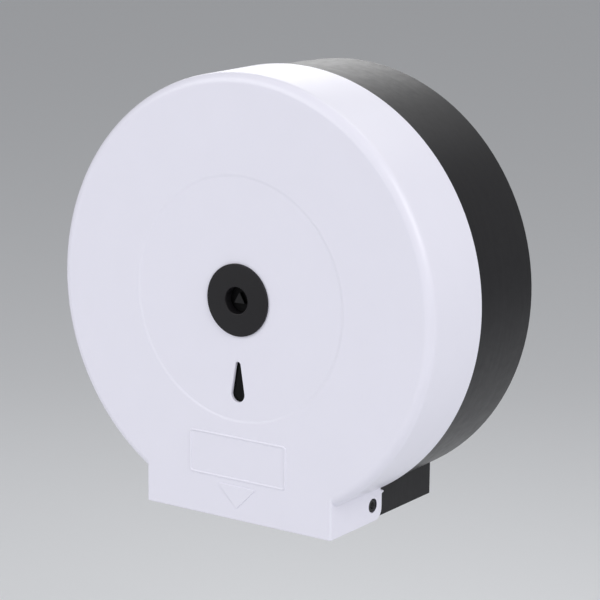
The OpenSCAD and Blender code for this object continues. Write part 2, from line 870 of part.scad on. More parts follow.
module lock_core() {
    color("#2a2a2c") on_wall() difference() {
        union() {
            translate([0, 0, core_face - eps]) rotate([0, 0, 90])
                cylinder(r = post_side / sqrt(3), h = post_h + eps, $fn = 3);
            translate([0, 0, core_seat]) cylinder(r = key_hole_r - run, h = core_head_t);
            core_shank();
            translate([-square_side / 2, -square_side / 2, bar_back])
                cube([square_side, square_side, bar_t + eps]);
        }
        translate([0, 0, bar_back - cut]) cylinder(r = screw_r + seat, h = bar_screw_len + cut);
    }
}

// The core's shank with its clip groove, and the tang behind it
module core_shank() {
    rotate_extrude() polygon([[0, bar_front], [tang_r, bar_front], [tang_r, shank_back],
        [shank_r, shank_back], [shank_r, clip_back], [shank_r - groove_d, clip_back],
        [shank_r - groove_d, washer_back], [shank_r, washer_back], [shank_r, core_seat + eps],
        [0, core_seat + eps]]);
}

module lock_washer() {
    color("#c0c0c0") on_wall() ring(washer_r, shank_r + run, washer_back, neck_back);
}

// An open clip in the core's groove
module lock_clip() {
    inner = shank_r - groove_d + seat;
    color("#8e9094") on_wall() difference() {
        ring(clip_r, inner, clip_back, washer_back);
        translate([-0.7 * inner, -2 * clip_r, 0]) cube([1.4 * inner, 2 * clip_r, depth]);
    }
}

module lock_bar() {
    hole = square_side + 2 * seat;
    color("#b4b6b8") on_wall() translate([0, 0, bar_back]) linear_extrude(bar_t) difference() {
        intersection() {
            square([bar_len, bar_h], center = true);
            circle(d = bar_len);
        }
        square(hole, center = true);
    }
}

module bar_screw() {
    color("#c0c0c0") on_wall() translate([0, 0, bar_back]) mirror([0, 0, 1]) screw(bar_screw_len);
}

rear_case();
tear_strip_left();
tear_strip_right();
strip_screws();
spindle_post();
post_screws();
keeper_plate();
keeper_screws();
hub_washer();
roll_hub();
core_adaptor();
hinge_pin_left();
hinge_pin_right();
front_cover();
level_window();
lock_bezel();
ring_nut();
lock_core();
lock_washer();
lock_clip();
lock_bar();
bar_screw();
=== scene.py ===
"""A round wall dispenser for large toilet rolls: the looks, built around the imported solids.

Sizes are in millimetres and are drawn in the wall's own frame (right, up, out of the wall), as in
the part's source. on_wall() turns them into metres in the part's frame. The sections follow the
dispenser as it is put together, from the case on the wall to the lock in the cover.
"""

import bmesh
import bpy
import numpy as np
from mathutils import Matrix, Vector
from mathutils.geometry import tessellate_polygon


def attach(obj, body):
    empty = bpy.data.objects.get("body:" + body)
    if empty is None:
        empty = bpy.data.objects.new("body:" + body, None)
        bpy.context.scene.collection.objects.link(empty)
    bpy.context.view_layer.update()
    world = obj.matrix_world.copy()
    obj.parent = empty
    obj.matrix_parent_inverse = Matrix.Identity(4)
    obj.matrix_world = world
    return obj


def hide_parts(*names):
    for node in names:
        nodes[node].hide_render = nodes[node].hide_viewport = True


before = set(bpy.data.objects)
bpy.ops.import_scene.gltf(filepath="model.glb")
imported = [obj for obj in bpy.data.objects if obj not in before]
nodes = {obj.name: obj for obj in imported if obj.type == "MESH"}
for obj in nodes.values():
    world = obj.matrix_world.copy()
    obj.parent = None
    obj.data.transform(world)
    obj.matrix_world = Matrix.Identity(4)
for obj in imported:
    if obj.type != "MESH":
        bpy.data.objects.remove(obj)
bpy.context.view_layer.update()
scene = bpy.context.scene

# ---- Studio ----
# A pale floor far enough below for the opened cover, in a pale room. Soft lamps stand in front on
# the left and on the right, and two weaker ones behind light the top. The camera stands where the
# photograph's did.

scene.view_settings.view_transform = "Standard"

ROOM_COLOUR, ROOM_LEVEL = (0.95, 0.96, 0.98, 1), 0.4
room = bpy.data.worlds.new("room")
room.use_nodes = True
glow = room.node_tree.nodes["Background"]
glow.inputs["Color"].default_value = ROOM_COLOUR
glow.inputs["Strength"].default_value = ROOM_LEVEL
scene.world = room

FLOOR_Z, FLOOR_HALF = -0.46, 14
floor_mesh = bpy.data.meshes.new("floor")
floor_mesh.from_pydata([(x * FLOOR_HALF, y * FLOOR_HALF, FLOOR_Z)
                        for x, y in ((-1, -1), (1, -1), (1, 1), (-1, 1))], [], [(0, 1, 2, 3)])
floor = bpy.data.objects.new("floor", floor_mesh)
scene.collection.objects.link(floor)
FLOOR_COLOUR = (0.80, 0.81, 0.83, 1)
floor_paint = bpy.data.materials.new("floor_paint")
floor_paint.use_nodes = True
floor_shader = floor_paint.node_tree.nodes["Principled BSDF"]
floor_shader.inputs["Base Color"].default_value = FLOOR_COLOUR
floor_shader.inputs["Roughness"].default_value = 0.9
floor_shader.inputs["Specular IOR Level"].default_value = 0.1
floor_mesh.materials.append(floor_paint)

# Where the lamps point: the middle of the object
MIDDLE = Vector((0, -0.06, 0))


def lamp(name, place, size, power, spread=180):
    """A square soft lamp that faces the object, whose light fans out by the spread in degrees."""
    light = bpy.data.lights.new(name, "AREA")
    light.shape = "SQUARE"
    light.size = size
    light.energy = power
    light.spread = np.radians(spread)
    holder = bpy.data.objects.new(name, light)
    scene.collection.objects.link(holder)
    holder.location = place
    holder.rotation_euler = (MIDDLE - Vector(place)).to_track_quat("-Z", "Y").to_euler()


lamp("front_left", (-1.25, -1.85, 1.05), size=1.7, power=25.1)
lamp("right", (1.85, -0.7, 1.15), size=1.5, power=28)
lamp("behind_left", (-1.0, 1.5, 0.6), size=1.2, power=0.95, spread=60)
lamp("behind_top", (0.25, 1.0, 1.5), size=1.2, power=1.9, spread=90)

# The camera's place and turn, fitted to the rim, the bezel, the throat and the case's edge
AZIMUTH, ELEVATION, ROLL = np.radians([34.418, 12.459, 0.644])
AIM = np.array([0.00239, -0.05592, -0.01049])
DISTANCE, FOCAL_LENGTH = 1.4264, 138.61
backward = np.array([np.sin(AZIMUTH) * np.cos(ELEVATION), -np.cos(AZIMUTH) * np.cos(ELEVATION),
                     np.sin(ELEVATION)])
level = np.array([np.cos(AZIMUTH), np.sin(AZIMUTH), 0])
upward = np.cross(backward, level)
right = np.cos(ROLL) * level + np.sin(ROLL) * upward
over = -np.sin(ROLL) * level + np.cos(ROLL) * upward
lens = bpy.data.cameras.new("camera")
lens.sensor_width = 36
lens.lens = FOCAL_LENGTH
lens.clip_end = 60
camera = bpy.data.objects.new("camera", lens)
scene.collection.objects.link(camera)
turn = Matrix([right, over, backward]).transposed().to_4x4()
camera.matrix_world = Matrix.Translation(Vector(AIM + DISTANCE * backward)) @ turn
scene.camera = camera

# ---- Case ----
# The drum-shaped case on the wall, one moulding of half-gloss black ABS. The CAD solid keeps its
# shape: the finish rounds its sharp edges in the light and adds the slow waves of the moulding.

# How many cells of noise a metre holds, in the colour's drift, the gloss's and the slow waves
TINT_CELLS, GLOSS_CELLS, WAVE_CELLS = 35, 160, 22
GLOSS_DRIFT, WAVE_STRETCH = 0.1, (1, 8, 1)


def pattern(tree, scale, detail=2.0, stretch=(1, 1, 1)):
    """Noise over the piece's own coordinates, with scale cells to a metre, and more of them along
    an axis whose stretch is above 1."""
    place = tree.nodes.new("ShaderNodeTexCoord")
    mapping = tree.nodes.new("ShaderNodeMapping")
    mapping.inputs["Scale"].default_value = stretch
    noise = tree.nodes.new("ShaderNodeTexNoise")
    noise.inputs["Scale"].default_value = scale
    noise.inputs["Detail"].default_value = detail
    tree.links.new(place.outputs["Object"], mapping.inputs["Vector"])
    tree.links.new(mapping.outputs["Vector"], noise.inputs["Vector"])
    return noise.outputs["Fac"]


def spread(tree, source, low, high):
    """The source's middle half, from 0.25 to 0.75, spread from low to high."""
    ramp = tree.nodes.new("ShaderNodeMapRange")
    ramp.inputs["From Min"].default_value = 0.25
    ramp.inputs["From Max"].default_value = 0.75
    ramp.inputs["To Min"].default_value = low
    ramp.inputs["To Max"].default_value = high
    tree.links.new(source, ramp.inputs["Value"])
    return ramp.outputs["Result"]


def bumped(tree, source, height, below=None):
    """The surface normal, tilted as if the source raised the surface by up to the height."""
    bump = tree.nodes.new("ShaderNodeBump")
    bump.inputs["Strength"].default_value = 1
    bump.inputs["Distance"].default_value = height
    tree.links.new(source, bump.inputs["Height"])
    if below:
        tree.links.new(below, bump.inputs["Normal"])
    return bump.outputs["Normal"]


def finish(name, colour, rough, grain, grain_height, patchy, edge=0.0, metallic=0.0,
           specular=0.5, stretch=(1, 1, 1), wave=0.0):
    """A plastic or metal finish. Its colour drifts by the share patchy over a few centimetres and
    its gloss over a few millimetres. Its surface carries a fine grain, with grain cells to a metre
    and of grain_height metres, and slow waves of wave metres. Where edge is above 0, the light
    also rounds sharp edges by that radius."""
    made = bpy.data.materials.new(name)
    made.use_nodes = True
    tree = made.node_tree
    shader = tree.nodes["Principled BSDF"]
    tint = tree.nodes.new("ShaderNodeMix")
    tint.data_type = "RGBA"
    tint.inputs["A"].default_value = (*(c * (1 - patchy) for c in colour), 1)
    tint.inputs["B"].default_value = (*(min(1, c * (1 + patchy)) for c in colour), 1)
    drift = spread(tree, pattern(tree, TINT_CELLS, 3), 0, 1)
    tree.links.new(drift, tint.inputs["Factor"])
    tree.links.new(tint.outputs["Result"], shader.inputs["Base Color"])
    gloss = spread(tree, pattern(tree, GLOSS_CELLS, 3, stretch),
                   rough * (1 - GLOSS_DRIFT), rough * (1 + GLOSS_DRIFT))
    tree.links.new(gloss, shader.inputs["Roughness"])
    shader.inputs["Metallic"].default_value = metallic
    shader.inputs["Specular IOR Level"].default_value = specular
    normal = None
    if edge:
        rounding = tree.nodes.new("ShaderNodeBevel")
        rounding.samples = 6
        rounding.inputs["Radius"].default_value = edge
        normal = rounding.outputs["Normal"]
    if wave:
        normal = bumped(tree, pattern(tree, WAVE_CELLS, 2, WAVE_STRETCH), wave, normal)
    normal = bumped(tree, pattern(tree, grain, 2, stretch), grain_height, normal)
    tree.links.new(normal, shader.inputs["Normal"])
    return made


def dress(material, *names):
    """Gives CAD nodes a material in place of their own."""
    for name in names:
        nodes[name].data.materials.clear()
        nodes[name].data.materials.append(material)


black_abs = finish("black_abs", (0.0082, 0.0078, 0.0092), rough=0.36, grain=900,
                   grain_height=0.00002, patchy=0.08, edge=0.0004, specular=0.25, wave=0.00007)
dress(black_abs, "rear_case")

# ---- Tear strips ----
# The toothed stainless strips inside the cheeks, brushed along their length, and the small
# zinc-plated screws that hold them.

stainless = finish("stainless", (0.56, 0.56, 0.57), rough=0.32, grain=700, grain_height=0.000006,
                   patchy=0.04, edge=0.00015, metallic=1, stretch=(1, 0.05, 1))
zinc = finish("zinc", (0.60, 0.61, 0.64), rough=0.34, grain=900, grain_height=0.00001,
              patchy=0.08, edge=0.0001, metallic=1)
dress(stainless, "tear_strip_left", "tear_strip_right")
dress(zinc, "strip_screws")

# ---- Spindle post ----
# The pale grey ABS post on the back plate, with the steel keeper plate on its front end that the
# lock's bar turns behind. Four screws hold the post and two the plate.

grey_abs = finish("grey_abs", (0.52, 0.52, 0.50), rough=0.42, grain=1100, grain_height=0.00002,
                  patchy=0.02, edge=0.0004)
dress(grey_abs, "spindle_post")
dress(stainless, "keeper_plate")
dress(zinc, "post_screws", "keeper_screws")

# ---- Roll hub ----
# The off-white hub that turns on the post, on a nylon washer, and the charcoal adaptor round it
# that carries wide cores.

nylon = finish("nylon", (0.75, 0.73, 0.66), rough=0.5, grain=900, grain_height=0.00002,
               patchy=0.02, edge=0.0002)
hub_abs = finish("hub_abs", (0.72, 0.73, 0.76), rough=0.36, grain=1000, grain_height=0.00002,
                 patchy=0.015, edge=0.0004)
charcoal_abs = finish("charcoal_abs", (0.0105, 0.0098, 0.0115), rough=0.42, grain=1600,
                      grain_height=0.00003, patchy=0.06, edge=0.0003, specular=0.27)
dress(nylon, "hub_washer")
dress(hub_abs, "roll_hub")
dress(charcoal_abs, "core_adaptor")

# ---- Hinge pins ----
# Two black POM pins that are pressed through the cheeks from inside. Each has a flat head inside
# and a rounded end with a dimple, just inside the ear's face.

PIN_R, PIN_HEAD_R, PIN_DIMPLE_R, PIN_DIMPLE, PIN_DIMPLE_LEAN = 4.1, 6.0, 2.2, 1.2, 0.5
PIN_IN, CHEEK_IN, PIN_END = 60.9, 62.5, 68.4
HINGE_OUT, HINGE_UP = 72.3, -126.5
SMOOTH_ANGLE = 32


def on_wall(points):
    """Right, up and out in millimetres become x, z and -y in metres."""
    p = np.asarray(points, float)
    return np.stack([p[..., 0], -p[..., 2], p[..., 1]], -1) * 0.001


def net(points, loop_rows=False, loop_columns=False):
    """A patch of quads over points[i, j]: each joins (i, j), (i+1, j), (i+1, j+1) and (i, j+1)."""
    rows, columns = points.shape[:2]
    i = np.arange(rows if loop_rows else rows - 1)
    j = np.arange(columns if loop_columns else columns - 1)
    i, j = (k.ravel() for k in np.meshgrid(i, j, indexing="ij"))
    n, m = (i + 1) % rows, (j + 1) % columns
    quads = np.stack([i * columns + j, n * columns + j, n * columns + m, i * columns + m], -1)
    return points.reshape(-1, 3), quads.tolist()


def soft_corners(corners, radii, steps=6, closed=True):
    """A path of (x, y) corners, each replaced by an arc that touches both its sides. An arc that
    turns by h starts radius * tan(h / 2) before its corner and ends as far behind it. An open
    path keeps its two ends."""
    corners = np.asarray(corners, float)
    radii = np.broadcast_to(radii, len(corners)).astype(float)
    into = corners - np.roll(corners, 1, 0)
    into /= np.linalg.norm(into, axis=1)[:, None]
    away = np.roll(into, -1, 0)
    bend = np.arctan2(into[:, 0] * away[:, 1] - into[:, 1] * away[:, 0], (into * away).sum(1))
    start = corners - into * (radii * np.tan(np.abs(bend) / 2))[:, None]
    side = np.stack([-into[:, 1], into[:, 0]], -1) * np.sign(bend)[:, None]
    t = np.linspace(0, 1, steps + 1)[None, :, None] * np.abs(bend)[:, None, None]
    path = start[:, None] + radii[:, None, None] * (np.sin(t) * into[:, None]
                                                    + (1 - np.cos(t)) * side[:, None])
    if closed:
        return path.reshape(-1, 2)
    return np.concatenate([corners[:1], path[1:-1].reshape(-1, 2), corners[-1:]])


def turned(section, steps=180, middle=(0, 0), closed=True):
    """A section of (radius, out) points, turned round an axis that stands out of the wall.
    At the angle a, right = r sin a and up = -r cos a, from the middle."""
    section = np.asarray(section, float)
    a = np.linspace(0, 2 * np.pi, steps, endpoint=False)[:, None]
    r, out = section[:, 0], section[:, 1] + 0 * a
    return net(np.stack([middle[0] + r * np.sin(a), middle[1] - r * np.cos(a), out], -1),
               loop_rows=True, loop_columns=closed)


def piece(name, patches, material, body, *replaced):
    """One object from patches of (points, faces): joined, doubles merged, normals turned outwards,
    smooth except over edges sharper than SMOOTH_ANGLE, with normals weighted by face area. It
    rides on the body in place of the replaced nodes."""
    points, faces, first = [], [], 0
    for p, f in patches:
        points.append(on_wall(p))
        faces += [[first + k for k in face] for face in f]
        first += len(p)
    mesh = bpy.data.meshes.new(name)
    mesh.from_pydata(np.concatenate(points).tolist(), [], faces)
    work = bmesh.new()
    work.from_mesh(mesh)
    bmesh.ops.remove_doubles(work, verts=work.verts, dist=2e-6)
    bmesh.ops.dissolve_degenerate(work, edges=work.edges, dist=1e-7)
    bmesh.ops.recalc_face_normals(work, faces=work.faces)
    work.to_mesh(mesh)
    work.free()
    mesh.shade_smooth()
    mesh.set_sharp_from_angle(angle=np.radians(SMOOTH_ANGLE))
    mesh.materials.append(material)
    made = bpy.data.objects.new(name, mesh)
    scene.collection.objects.link(made)
    weigh = made.modifiers.new("weigh", "WEIGHTED_NORMAL")
    weigh.keep_sharp = True
    weigh.weight = 80
    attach(made, body)
    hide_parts(*replaced)
    return made


black_pom = finish("black_pom", (0.010, 0.010, 0.011), rough=0.34, grain=1400,
                   grain_height=0.00002, patchy=0.06, specular=0.35)
dimple_out = PIN_END - PIN_DIMPLE
pin_section = soft_corners(
    [(0, PIN_IN), (PIN_HEAD_R, PIN_IN), (PIN_HEAD_R, CHEEK_IN), (PIN_R, CHEEK_IN),
     (PIN_R, PIN_END), (PIN_DIMPLE_R, PIN_END), (PIN_DIMPLE_R - PIN_DIMPLE_LEAN, dimple_out),
     (0, dimple_out)],
    [0, 0.3, 0.3, 0.1, 0.5, 0.35, 0.5, 0], closed=False)
pin_points, pin_faces = turned(pin_section, 96)
for side, name in ((-1, "left"), (1, "right")):
    placed = np.stack([side * pin_points[:, 2], HINGE_UP + pin_points[:, 1],
                       HINGE_OUT + pin_points[:, 0]], -1)
    pin = piece(f"pin_{name}", [(placed, pin_faces)], black_pom, "case", f"hinge_pin_{name}")

# ---- Front cover ----
# The white drum with its square throat and two hinge ears, moulded in one piece of ABS with a
# satin face. Its wall is 2.8 mm, and every outer edge is a little rounded.

# From the wall, SPLIT is how far out the cover's rim meets the case, and DEPTH how far its face
# stands. DRAFT is how much less the drum's radius is at the face than at the rim.
DEPTH, SPLIT, RIM_R, DRAFT, WALL = 118.0, 63.3, 136.0, 0.6, 2.8
FACE_ROUND, EDGE = 6.0, 0.6
THROAT_HALF, THROAT_ROUND, THROAT_INNER_ROUND, BOTTOM = 68.8, 1.4, 0.6, -137.0
EAR_TOP, EAR_REAR, EAR_ROUND = BOTTOM + 18.2, SPLIT - 1.4, 7.0
NIB_UP, NIB_OUT, NIB_HALF, NIB_TAPER = BOTTOM + 16.8, 1.95, 0.95, 0.15
PIN_BORE_R, PIN_LIP, WINDOW_LIP = 4.18, 0.3, 0.35
PANEL_R, PANEL_OUT, PANEL_IN, PANEL_SINK, NECK_BORE_R = 74.6, 75.9, 73.6, 0.4, 12.1
PANEL_FACE, INNER_FACE = DEPTH - PANEL_SINK, DEPTH - WALL
CORNER_STEPS, RIM_STEPS, EAR_STEPS, PANEL_STEPS = 8, 400, 7, 240
QUARTER_TURN = np.linspace(0, np.pi / 2, 5)


def fill(outline, *holes):
    """A patch of triangles over a flat outline, less its holes. All are loops of points."""
    loops = [[Vector(p) for p in loop] for loop in (outline, *holes)]
    return np.concatenate([outline, *holes]), [list(t) for t in tessellate_polygon(loops)]


def at(path, out):
    """A flat path of (right, up) points, or one for each entry of out, lifted to that height."""
    path = np.asarray(path, float)
    return np.concatenate([path, np.broadcast_to(out, path.shape[:-1])[..., None]], -1)


def circle(radius, middle=(0, 0), steps=120):
    """A loop of points at middle + radius (sin a, -cos a)."""
    a = np.linspace(0, 2 * np.pi, steps, endpoint=False)
    return np.array(middle) + radius * np.stack([np.sin(a), -np.cos(a)], -1)


def lipped(outline_at, high, low, lip):
    """The wall of a hole through a plate, whose two edges are rounded by lip. outline_at(g) is
    the hole's outline grown by g: each edge runs from outline_at(lip) on the plate's face to
    outline_at(0) a lip's radius below it, on a quarter circle."""
    grow = lip * (1 - np.sin(QUARTER_TURN))
    drop = lip * (1 - np.cos(QUARTER_TURN))
    rows = [at(outline_at(g), high - d) for g, d in zip(grow, drop)]
    rows += [at(outline_at(g), low + d) for g, d in zip(grow[::-1], drop[::-1])]
    return net(np.array(rows), loop_columns=True)


def slab(outline_at, low, high, edge):
    """A closed plate from low to high, whose front edge is rounded by a quarter circle: at the
    angle t its outline shrinks by edge (1 - cos t) while it rises by edge sin t."""
    rows = [at(outline_at(0), low)]
    rows += [at(outline_at(-edge * (1 - np.cos(t))), high - edge * (1 - np.sin(t)))
             for t in QUARTER_TURN]
    rows = np.array(rows)
    return [net(rows, loop_columns=True), fill(rows[0]), fill(rows[-1])]


def cover_section(inset, corner, edge):
    """The drum's section from its face to its rim, as (radius, out), and the throat's half width
    beside each point. The fillet is an arc whose middle is the same inside and outside, and the
    side runs at the draft's slope. The first points share the rounding of the throat's front
    corner, where the half width falls off as a quarter circle."""
    slope = np.arctan(DRAFT / (DEPTH - SPLIT))
    r, z = FACE_ROUND - inset, DEPTH - FACE_ROUND
    rim = RIM_R - inset / np.cos(slope)
    x = rim - np.tan(slope) * (z - SPLIT) - r / np.cos(slope)
    face = DEPTH - inset
    corner_angle = np.arcsin((face - corner - z) / r)
    angles = np.concatenate([np.linspace(np.pi / 2, corner_angle, CORNER_STEPS + 1),
                             np.linspace(corner_angle, slope, 17)[1:]])
    fillet = np.array([x, z]) + r * np.stack([np.cos(angles), np.sin(angles)], -1)
    last = np.array([rim - np.tan(slope) * edge, SPLIT + edge])
    side = fillet[-1] + (last - fillet[-1]) * np.linspace(0, 1, 7)[1:, None]
    section = np.concatenate([fillet, side])
    over = np.clip(section[:, 1] - (face - corner), 0, corner)
    half = THROAT_HALF - inset - corner + np.sqrt(corner ** 2 - over ** 2)
    return section, half


def ear_outline(grow):
    """The ear's edge seen from the right, as (out, up), from the corner under the rim, round the
    nib and the lower rear corner, to the start of the throat's bottom. Its convex corners' radii
    gain grow. The first and the last two corners only steer the path and are cut off."""
    g = grow
    rear, tip = EAR_REAR - g, EAR_REAR - NIB_OUT - g
    corners = [(SPLIT - g, 0), (SPLIT - g, EAR_TOP + g), (rear, EAR_TOP + g),
               (rear, NIB_UP + NIB_HALF + g), (tip, NIB_UP + NIB_HALF - NIB_TAPER + g),
               (tip, NIB_UP - NIB_HALF + NIB_TAPER - g), (rear, NIB_UP - NIB_HALF - g),
               (rear, BOTTOM - g), (DEPTH, BOTTOM - g), (DEPTH, 0)]
    radii = [0, 0.4 - g, 0.2 + g / 4, 0.2, 0.75 + g, 0.75 + g, 0.3 - g, EAR_ROUND + g, 0, 0]
    return soft_corners(corners, radii, EAR_STEPS)[EAR_STEPS + 1:-2 * (EAR_STEPS + 1)]


def cover_loop(inset, corner, edge):
    """The cover's whole free edge as one loop of points: the rim from the right seam over the top
    to the left one, down the left ear, along the throat's bottom, and up the right ear."""
    section, half = cover_section(inset, corner, edge)
    seam = np.arcsin(half[-1] / section[-1, 0])
    a = np.linspace(seam, 2 * np.pi - seam, RIM_STEPS + 1)
    rim = at(section[-1, 0] * np.stack([np.sin(a), -np.cos(a)], -1), section[-1, 1])
    ear = ear_outline(-edge)
    left = np.stack([0 * ear[:, 0] - half[-1], ear[:, 1], ear[:, 0]], -1)
    front = slice(CORNER_STEPS, None, -1)
    low = np.stack([-half[front], 0 * half[front] + BOTTOM + edge, section[front, 1]], -1)
    right_half = np.concatenate([left, low])[::-1] * [-1, 1, 1]
    return np.concatenate([rim, left, low, right_half])


def cover_skin(inset, corner, *face_holes):
    """One skin of the cover: the drum as a net from the face's edge to the rim, whose rows start
    and end on the seam where right = the throat's half width, the rounded throat corners, the
    throat's flat sides with their ears and pin bores, and the flat face."""
    section, half = cover_section(inset, corner, EDGE)
    r, out = section.T
    seam = np.arcsin(half / r)[:, None]
    a = seam + (2 * np.pi - 2 * seam) * np.linspace(0, 1, RIM_STEPS + 1)
    drum = np.stack([r[:, None] * np.sin(a), -r[:, None] * np.cos(a), out[:, None] + 0 * a], -1)
    patches = [net(drum)]
    low = BOTTOM + EDGE
    ear = ear_outline(-EDGE)
    for mirror in (1, -1):
        top = drum[:, 0] if mirror == 1 else drum[:, -1]
        foot = np.stack([mirror * half, 0 * half + low, out], -1)
        patches.append(net(np.stack([top[:CORNER_STEPS + 1], foot[:CORNER_STEPS + 1]], 1)))
        edge = np.stack([0 * ear[:, 0] + mirror * half[-1], ear[:, 1], ear[:, 0]], -1)
        outline = np.concatenate([top[CORNER_STEPS:], edge, foot[CORNER_STEPS:CORNER_STEPS + 1]])
        bore = circle(PIN_BORE_R + PIN_LIP, (HINGE_OUT, HINGE_UP), 64)
        patches.append(fill(outline, np.stack([0 * bore[:, 0] + mirror * half[-1], bore[:, 1],
                                               bore[:, 0]], -1)))
    face = np.concatenate([drum[0], [[-half[0], low, out[0]], [half[0], low, out[0]]]])
    patches.append(fill(face, *face_holes))
    return patches


def teardrop(grow):
    """The level window's outline: a small arc over a larger one, joined by their common tangents,
    whose lean is asin(difference of radii / distance of middles)."""
    top, low, top_r, low_r = -39.9, -58.1, 1.9, 4.9
    lean = np.arcsin((low_r - top_r) / (top - low))
    a = np.linspace(lean, np.pi - lean, 17)
    b = np.linspace(np.pi - lean, 2 * np.pi + lean, 41)
    return np.concatenate([
        [0, top] + (top_r + grow) * np.stack([np.cos(a), np.sin(a)], -1),
        [0, low] + (low_r + grow) * np.stack([np.cos(b), np.sin(b)], -1)])


# The free edge: a quarter circle leads from each skin's last loop to the flat end between them
outer_loop, outer_edge = (cover_loop(0, THROAT_ROUND, edge) for edge in (EDGE, 0))
inner_loop, inner_edge = (cover_loop(WALL, THROAT_INNER_ROUND, edge) for edge in (EDGE, 0))
across = inner_edge - outer_edge
across /= np.linalg.norm(across, axis=1)[:, None]
t = QUARTER_TURN[:, None, None]
outer_turn = outer_loop + (outer_edge - outer_loop) * np.sin(t) + across * EDGE * (1 - np.cos(t))
inner_turn = inner_loop + (inner_edge - inner_loop) * np.sin(t) - across * EDGE * (1 - np.cos(t))
free_edge = net(np.concatenate([outer_turn, inner_turn[::-1]]), loop_columns=True)

# The panel's edge: the face sinks over the step's width along half a cosine wave
t = np.linspace(0, 1, 9)
panel_step = np.stack([PANEL_OUT + (PANEL_IN - PANEL_OUT) * t,
                       DEPTH - PANEL_SINK * (1 - np.cos(np.pi * t)) / 2], -1)
panel_rim = at(circle(PANEL_OUT, steps=PANEL_STEPS), DEPTH)
neck_bore = circle(NECK_BORE_R)
cover_patches = [
    *cover_skin(0, THROAT_ROUND, panel_rim), free_edge,
    *cover_skin(WALL, THROAT_INNER_ROUND, at(neck_bore, INNER_FACE),
                at(teardrop(WINDOW_LIP), INNER_FACE)),
    turned(panel_step, steps=PANEL_STEPS, closed=False),
    fill(at(circle(PANEL_IN, steps=PANEL_STEPS), PANEL_FACE), at(neck_bore, PANEL_FACE),
         at(teardrop(WINDOW_LIP), PANEL_FACE)),
    net(np.array([at(neck_bore, PANEL_FACE), at(neck_bore, INNER_FACE)]), loop_columns=True),
    lipped(teardrop, PANEL_FACE, INNER_FACE, WINDOW_LIP)]

# The marks that are raised from the face, and how deep marks, ribs and stakes are rooted in it
BEAD_W, MARK_H, MARK_EDGE, SUNK = 1.5, 0.45, 0.3, 0.4
LABEL_W, LABEL_H, LABEL_UP, LABEL_ROUND = 72.0, 27.6, -98.25, 1.85
ARROW_HALF, ARROW_TOP, ARROW_TIP, ARROW_ROUND = 14.15, -115.5, -129.8, 0.5


def label_frame(grow):
    """The label frame's middle line, grown by grow: a rectangle with rounded corners."""
    x, y = (LABEL_W - BEAD_W) / 2 + grow, (LABEL_H - BEAD_W) / 2 + grow
    corners = np.array([[x, -y], [x, y], [-x, y], [-x, -y]]) + [0, LABEL_UP]
    return soft_corners(corners, LABEL_ROUND + grow, 7)


# The bead's section: two upright sides, and between them a top that rises as a half ellipse
bead_turn = np.linspace(0, np.pi, 9)
bead_side = -BEAD_W / 2 * np.cos(bead_turn)
bead_rise = MARK_H * np.sin(bead_turn)
bead = [at(label_frame(-BEAD_W / 2), DEPTH - SUNK)]
bead += [at(label_frame(s), DEPTH + h) for s, h in zip(bead_side, bead_rise)]
bead += [at(label_frame(BEAD_W / 2), DEPTH - SUNK)]
cover_patches.append(net(np.array(bead), loop_rows=True, loop_columns=True))


def arrow(grow):
    """The arrow that points down at the throat, with rounded corners. A corner moves out along the
    sum of its two sides' normals n and m, by grow (n + m) / (1 + n . m)."""
    corners = np.array([[-ARROW_HALF, ARROW_TOP], [ARROW_HALF, ARROW_TOP], [0, ARROW_TIP]])
    sides = np.roll(corners, -1, 0) - corners
    lean = np.arctan2(sides[:, 1], sides[:, 0])
    normal = np.stack([np.sin(lean), -np.cos(lean)], -1)
    turn_in = np.sign(sides[0, 0] * sides[1, 1] - sides[0, 1] * sides[1, 0])
    moved = corners + grow * turn_in * (normal + np.roll(normal, 1, 0)) / (
        1 + (normal * np.roll(normal, 1, 0)).sum(1))[:, None]
    return soft_corners(moved, ARROW_ROUND + grow, 4)


cover_patches += slab(arrow, DEPTH - SUNK, DEPTH + MARK_H, MARK_EDGE)

# The ribs behind the face: two rings, and spokes between them. Their section, as (across, out),
# has two upright sides and a round tip.
RIB_H, RIB_T, GUARD_R, RIB_COUNT = 5.0, 1.6, 25.0, 6
tip_turn = np.linspace(0, np.pi, 7)
rib_tip = np.stack([-RIB_T / 2 * np.cos(tip_turn),
                    INNER_FACE - RIB_H + RIB_T / 2 * (1 - np.sin(tip_turn))], -1)
rib_section = np.concatenate([[[-RIB_T / 2, INNER_FACE + SUNK]], rib_tip,
                              [[RIB_T / 2, INNER_FACE + SUNK]]])
for ring in (GUARD_R, PANEL_R):
    cover_patches.append(turned(rib_section + [ring, 0], steps=PANEL_STEPS))
for i in range(RIB_COUNT):
    a = np.radians((i + 0.5) * 360 / RIB_COUNT)
    along, aside = np.array([np.sin(a), -np.cos(a)]), np.array([np.cos(a), np.sin(a)])
    ends = [np.concatenate([r * along + rib_section[:, :1] * aside, rib_section[:, 1:]], -1)
            for r in (GUARD_R, PANEL_R)]
    cover_patches += [net(np.array(ends), loop_columns=True), fill(ends[0]), fill(ends[1])]

# The four stakes that were melted over the window pane: a post with a domed head
PANE_BACK, STAKE_R, STAKE_HEAD_R = INNER_FACE - 1.5, 1.2, 2.1
stake_section = [(0, PANE_BACK - 0.7), (1.2, PANE_BACK - 0.66), (1.8, PANE_BACK - 0.4),
                 (STAKE_HEAD_R, PANE_BACK - 0.05), (STAKE_HEAD_R, PANE_BACK),
                 (STAKE_R, PANE_BACK), (STAKE_R, INNER_FACE + SUNK), (0, INNER_FACE + SUNK)]
for stake_up in (-38, -63):
    for stake_right in (-9.3, 9.3):
        cover_patches.append(turned(stake_section, 40, (stake_right, stake_up)))

